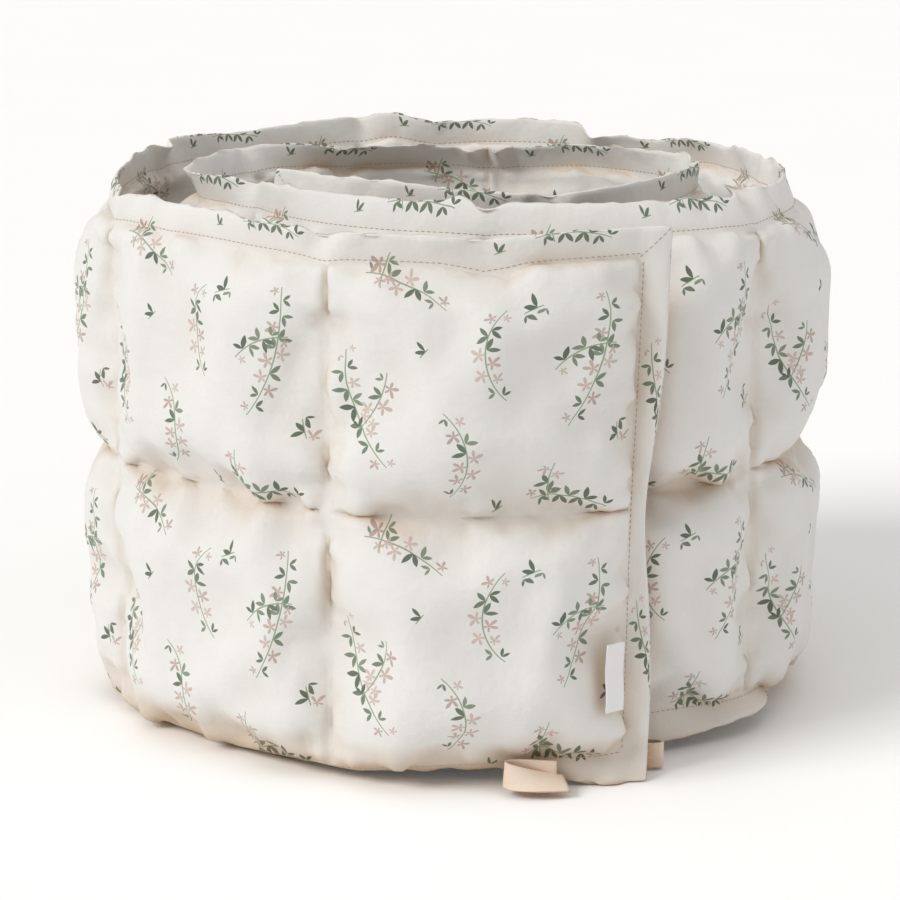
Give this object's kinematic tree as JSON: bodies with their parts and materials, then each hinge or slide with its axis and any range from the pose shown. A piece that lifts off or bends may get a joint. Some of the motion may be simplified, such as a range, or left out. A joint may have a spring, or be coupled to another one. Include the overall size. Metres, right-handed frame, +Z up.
{
  "type": "crib bumper",
  "caption": "Quilted padded crib bumper with a stitched flange, woven ties and floral print cover, loosely rolled up and standing on its long edge.",
  "frame": {"origin": "on the surface the roll stands on, under the middle of its bounding box", "axes": "+Z up along the pad's height, -Y towards the free end that faces the viewer, +X to the viewer's right"},
  "size_m": [0.4266, 0.4349, 0.3],
  "materials": {
    "printed_cotton": "matt plain-weave cotton, off-white with a small floral print",
    "woven_tape": "matt woven cotton tape, natural cream",
    "satin_tape": "smooth satin tape, white and blank"
  },
  "bodies": {
    "root": {"bumper_pad": "printed_cotton", "tie_front": "woven_tape", "tie_end": "woven_tape", "side_label": "satin_tape"}
  },
  "joints": []
}
